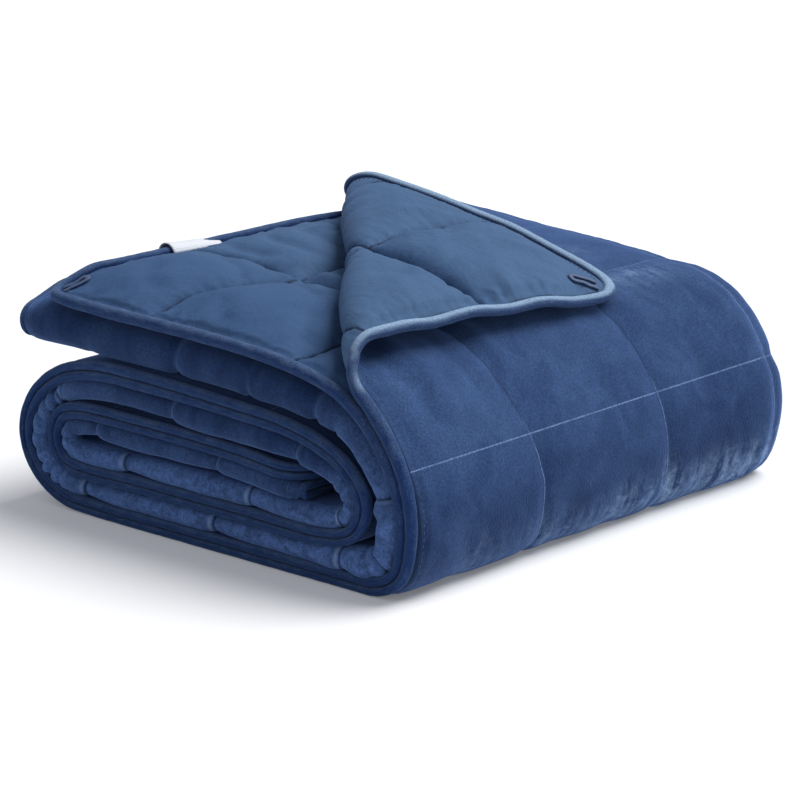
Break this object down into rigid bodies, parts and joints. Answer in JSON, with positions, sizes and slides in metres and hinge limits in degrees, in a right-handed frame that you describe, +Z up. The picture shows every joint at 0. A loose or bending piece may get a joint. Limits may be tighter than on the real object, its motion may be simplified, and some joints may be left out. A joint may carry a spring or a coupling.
{
  "type": "folded quilted blanket",
  "caption": "Quilted velvet blanket with a bound edge, folded lengthwise and rolled flat, one corner turned back over the top to show its smooth lining.",
  "frame": {"origin": "under the middle of the folded blanket, on the surface it lies on", "axes": "+Z up, Y along the axis of the roll with its open end facing -Y, +X towards the closed round side"},
  "size_m": [0.3666, 0.3994, 0.1946],
  "materials": {
    "velvet": "short brushed navy-blue velvet pile",
    "binding_velvet": "navy-blue velvet strip, lighter where the pile turns to the light",
    "microfibre": "smooth matte blue microfibre",
    "label_tape": "plain white woven tape"
  },
  "bodies": {
    "root": {"quilt": "velvet", "binding": "binding_velvet", "corner_loop_top": "microfibre", "corner_loop_end": "microfibre", "label": "label_tape"}
  },
  "joints": []
}
